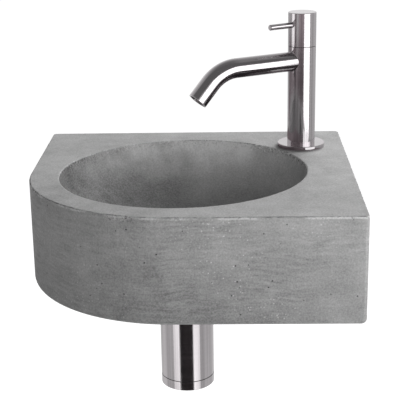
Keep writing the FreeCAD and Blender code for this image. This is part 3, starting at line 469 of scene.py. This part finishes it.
def special_finishes():
    """The finish of each piece that differs from the rest of its slot."""
    tap_steel = brushed_steel("steel_tap_tube", LEVEL_BRUSH, TAP_DRAW_LINES)
    trap_steel = brushed_steel("steel_trap_tube", LEVEL_BRUSH, TRAP_DRAW_LINES)
    fine_steel = brushed_steel("steel_fine", FINE_BRUSH)
    outlet_steel = brushed_steel("steel_outlet", OUTLET_BRUSH)
    dark_plastic = soft_finish("dark_plastic", dark=(0.02, 0.018, 0.018, 1),
                               pale=(0.05, 0.045, 0.045, 1), rough=0.5, grain_scale=700)
    return {
        "tap_column": tap_steel, "lever_head": tap_steel,
        "trap_body": trap_steel, "trap_cup": trap_steel,
        "tap_spout": fine_steel, "aerator_sleeve": fine_steel,
        "lever_pin": fine_steel, "grub_screw": fine_steel,
        "outlet_nut": outlet_steel, "outlet_pipe": outlet_steel, "wall_rosette": outlet_steel,
        "tap_shank": machined_brass("brass_threaded", SHANK_PITCH),
        "slip_ring": dark_plastic}


def dress_nodes():
    """Give every piece of the frame its finish."""
    finishes = slot_finishes()
    special = special_finishes()
    for piece in frame["record"]["subparts"]:
        node = frame["nodes"][piece["node"]]
        finish = special.get(piece["node"], finishes[piece["material_slot"]])
        node.data.materials.clear()
        node.data.materials.append(finish)


def make_floor():
    """A pale floor at the height it has under a fitted basin, white to the camera but with its shadows."""
    bpy.ops.mesh.primitive_plane_add(size=FLOOR_SIZE, location=(0, 0, rim_height - RIM_ABOVE_FLOOR))
    floor = bpy.context.object
    floor.name = "floor"
    finish, tree = new_finish("pale_floor")
    path = put(tree, "ShaderNodeLightPath")
    seen = product(tree, path.outputs["Is Camera Ray"], FLOOR_LIFT_SEEN)
    mirrored = product(tree, path.outputs["Is Glossy Ray"], FLOOR_LIFT_MIRRORED)
    matt = put(tree, "ShaderNodeBsdfDiffuse", {"Color": FLOOR_COLOUR})
    lift = put(tree, "ShaderNodeEmission", {"Color": WHITE, "Strength": largest(tree, seen, mirrored)})
    close_finish(tree, put(tree, "ShaderNodeAddShader", {0: matt.outputs[0], 1: lift.outputs[0]}))
    floor.data.materials.append(finish)


def facing_spot(centre, bearing, reach, height):
    """A point around an upright axis; the bearing runs from the camera's side towards the right."""
    return Vector((centre.x + reach * math.sin(bearing), centre.y - reach * math.cos(bearing), height))


def aimed(spot, aim):
    """The matrix of a panel that stands at a spot and faces a point."""
    away = Vector(spot) - Vector(aim)
    return Matrix.Translation(spot) @ away.to_track_quat("Z", "Y").to_matrix().to_4x4()


def standing_panel(centre, bearings, reach, heights):
    """The matrix, width and height of an upright panel over a span of bearings and a span of heights."""
    low, high = (math.radians(bearing) for bearing in bearings)
    height = sum(heights) / 2
    spot = facing_spot(centre, (low + high) / 2, reach, height)
    width = 2 * reach * math.tan((high - low) / 2)
    return aimed(spot, (centre.x, centre.y, height)), width, heights[1] - heights[0]


def matt_cloth(tree, level):
    """The look of a plain cloth, grey with a touch of pink."""
    return put(tree, "ShaderNodeBsdfDiffuse", {"Color": (*(level * CLOTH_TINT), 1)})


def near_or_far(tree, near, far):
    """One look for the steel close by, such as the tap's foot, and another for the spout higher up."""
    distance = put(tree, "ShaderNodeLightPath").outputs["Ray Length"]
    return put(tree, "ShaderNodeMixShader", {
        0: rise(tree, distance, CLOSE_STEEL, FAR_STEEL), 1: near.outputs[0], 2: far.outputs[0]})


def keep_to_mirrors(thing, shadow):
    """Let a thing of the stage show only as a reflection, with or without its shadow."""
    thing.visible_camera = False
    thing.visible_diffuse = False
    thing.visible_shadow = shadow


def add_cloth(name, turn, width, height, level, far_level=None, shadow=True):
    """A plain cloth placed by a matrix, which may have another level for the steel further away."""
    bpy.ops.mesh.primitive_plane_add(size=1)
    cloth = bpy.context.object
    cloth.name = name
    cloth.matrix_world = turn @ Matrix.Diagonal((width, height, 1, 1))
    finish, tree = new_finish(name)
    shader = matt_cloth(tree, level)
    if far_level is not None:
        shader = near_or_far(tree, shader, matt_cloth(tree, far_level))
    close_finish(tree, shader)
    cloth.data.materials.append(finish)
    keep_to_mirrors(cloth, shadow)


def add_screen(name, centre, bearings, reach, heights, level, shadow=True):
    """A cloth screen that stands over a span of bearings and draws a band in the steel."""
    turn, width, height = standing_panel(centre, bearings, reach, heights)
    add_cloth(name, turn, width, height, level, shadow=shadow)


def lay_cloth(name, across, along, height, level):
    """A cloth laid flat over two spans measured from the tap's axis, and dark to the spout above."""
    left, right = across
    front, back = along
    spot = Vector((tap_middle.x + (left + right) / 2, tap_middle.y + (front + back) / 2, height))
    turn = Matrix.Translation(spot)
    add_cloth(name, turn, right - left, back - front, level, far_level=DARK_CLOTH, shadow=False)


def lay_bright_card(name, corners, height, glow):
    """A card laid by the tap's foot: bright to the steel close by, dark to the spout, clear from below."""
    wedge = bmesh.new()
    for bearing, reach in corners:
        wedge.verts.new(facing_spot(tap_middle, math.radians(bearing), reach, height))
    wedge.faces.new(wedge.verts)
    mesh = bpy.data.meshes.new(name)
    wedge.to_mesh(mesh)
    wedge.free()
    card = bpy.data.objects.new(name, mesh)
    bpy.context.scene.collection.objects.link(card)
    finish, tree = new_finish(name)
    below = put(tree, "ShaderNodeNewGeometry").outputs["Backfacing"]
    clear = put(tree, "ShaderNodeBsdfTransparent")
    lit = put(tree, "ShaderNodeEmission", {"Color": WHITE, "Strength": glow})
    above = near_or_far(tree, lit, matt_cloth(tree, DARK_CLOTH))
    shader = put(tree, "ShaderNodeMixShader", {0: below, 1: above.outputs[0], 2: clear.outputs[0]})
    close_finish(tree, shader)
    mesh.materials.append(finish)
    keep_to_mirrors(card, shadow=False)


def set_screens():
    """Screens for the bands in the tap's head, column and flange and in the trap; bearings in degrees."""
    add_screen("head_front_screen", tap_middle, (-31, 12), SCREEN_REACH, HEAD_HEIGHTS, level=0.85)
    add_screen("head_left_screen", tap_middle, (-62, -50), SCREEN_REACH, HEAD_HEIGHTS, level=0.35)
    add_screen("column_front_screen", tap_middle, (-31, 12), SCREEN_REACH, COLUMN_HEIGHTS, level=0.28)
    add_screen("column_middle_screen", tap_middle, (-50, -31), SCREEN_REACH, COLUMN_HEIGHTS, level=0.36)
    add_screen("column_left_screen", tap_middle, (-130, -50), SCREEN_REACH, COLUMN_HEIGHTS, level=0.36)
    add_screen("flange_front_screen", tap_middle, (-66, 10), reach=1.3, heights=(0.28, 0.62), level=0.3,
               shadow=False)
    add_screen("flange_left_screen", tap_middle, (-98, -64), reach=1.15, heights=(0.26, 0.6), level=0.3,
               shadow=False)
    add_screen("trap_front_screen", trap_middle, (-29, 26), TRAP_REACH, heights=(-0.78, -0.42), level=0.05)


def lay_cloths():
    """Cloths around the tap's foot and to the right of the basin, and a bright card by the foot."""
    on_top = rim_height + CLOTH_LIFT
    beside_basin = rim_height - SIDE_CLOTH_DROP
    lay_cloth("rim_cloth", across=(-0.07, 0.02), along=(-0.07, -0.008), height=on_top, level=0.25)
    lay_cloth("deck_cloth", across=(-0.07, 0.0), along=(-0.008, 0.06), height=on_top, level=0.25)
    lay_bright_card("foot_card", CARD_CORNERS, rim_height + CARD_LIFT, glow=1.6)
    lay_cloth("side_cloth", across=(0.05, 0.31), along=(-0.38, 0.05), height=beside_basin, level=0.05)


def light_room():
    """A white room with a darker ceiling in reflections, and a plain level of fill."""
    world = bpy.data.worlds.new("studio_room")
    bpy.context.scene.world = world
    world.use_nodes = True
    tree = world.node_tree
    tree.nodes.clear()
    path = put(tree, "ShaderNodeLightPath")
    view = put(tree, "ShaderNodeTexCoord").outputs["Generated"]
    direction = put(tree, "ShaderNodeSeparateXYZ", {0: view}).outputs
    front_ceiling = spread(tree, direction["Z"], (0.36, 0.5), (1, 0.16))
    back_ceiling = spread(tree, direction["Z"], (0.25, 0.95), (0.95, 0.2))
    behind = rise(tree, direction["Y"], -0.1, 0.1)
    ceiling = total(tree, product(tree, front_ceiling, rest_of(tree, behind)),
                    product(tree, back_ceiling, behind))
    mirrored = put(tree, "ShaderNodeBackground", {"Color": WHITE, "Strength": ceiling})
    fill = put(tree, "ShaderNodeBackground", {"Color": WHITE, "Strength": ROOM_FILL})
    white = put(tree, "ShaderNodeBackground", {"Color": WHITE, "Strength": 1})
    lit = put(tree, "ShaderNodeMixShader", {
        0: path.outputs["Is Glossy Ray"], 1: fill.outputs[0], 2: mirrored.outputs[0]})
    seen = put(tree, "ShaderNodeMixShader", {
        0: path.outputs["Is Camera Ray"], 1: lit.outputs[0], 2: white.outputs[0]})
    put(tree, "ShaderNodeOutputWorld", {"Surface": seen.outputs[0]})


def add_softbox(name, turn, width, height, glow, mirrored):
    """A rectangular softbox of a given brightness, placed by a matrix."""
    lamp = bpy.data.lights.new(name, "AREA")
    lamp.shape = "RECTANGLE"
    lamp.size = width
    lamp.size_y = height
    lamp.energy = glow * math.pi * width * height
    softbox = bpy.data.objects.new(name, lamp)
    bpy.context.scene.collection.objects.link(softbox)
    softbox.matrix_world = turn
    softbox.visible_camera = False
    softbox.visible_glossy = mirrored


def add_bearing_softbox(name, centre, bearings, reach, heights, glow):
    """A softbox that stands over a span of bearings and draws a bright band in the steel."""
    turn, width, height = standing_panel(centre, bearings, reach, heights)
    add_softbox(name, turn, width, height, glow, mirrored=True)


def set_lights():
    """Soft light from high behind, weaker light from the front, and bright bands for the steel."""
    basin_middle = (0, -0.15, rim_height)
    high_behind = aimed((0.85, 1.1, 1.05), basin_middle)
    low_in_front = aimed((0.15, -1.1, 0.3), basin_middle)
    add_softbox("back_softbox", high_behind, width=1.6, height=0.7, glow=10.4, mirrored=False)
    add_softbox("front_softbox", low_in_front, width=0.8, height=0.4, glow=1.92, mirrored=False)
    add_bearing_softbox("tap_right_softbox", tap_middle, (15, 62), reach=0.8, heights=(-0.32, 0.5), glow=1.9)
    add_bearing_softbox("lever_softbox", tap_middle, (62, 76), reach=0.8, heights=(0.15, 0.5), glow=1.9)
    add_bearing_softbox("tap_left_softbox", tap_middle, (-94, -68), reach=1.25, heights=HEAD_HEIGHTS,
                        glow=1.0)
    add_bearing_softbox("trap_right_softbox", trap_middle, (29, 57), TRAP_REACH, TRAP_HEIGHTS, glow=1.0)
    add_bearing_softbox("trap_left_softbox", trap_middle, (-59, -33), TRAP_REACH, TRAP_HEIGHTS, glow=1.1)


def set_camera():
    """The photograph's camera."""
    lens = bpy.data.cameras.new("photo_camera")
    lens.lens = CAMERA_LENS
    lens.sensor_width = CAMERA_SENSOR
    camera = bpy.data.objects.new("photo_camera", lens)
    bpy.context.scene.collection.objects.link(camera)
    back = CAMERA_RIGHT.cross(CAMERA_UP)
    turn = Matrix((CAMERA_RIGHT, CAMERA_UP, back)).transposed().to_4x4()
    camera.matrix_world = Matrix.Translation(CAMERA_SPOT) @ turn
    bpy.context.scene.camera = camera


dress_nodes()
make_floor()
set_screens()
lay_cloths()
light_room()
set_lights()
set_camera()
bpy.context.scene.view_settings.view_transform = "Standard"
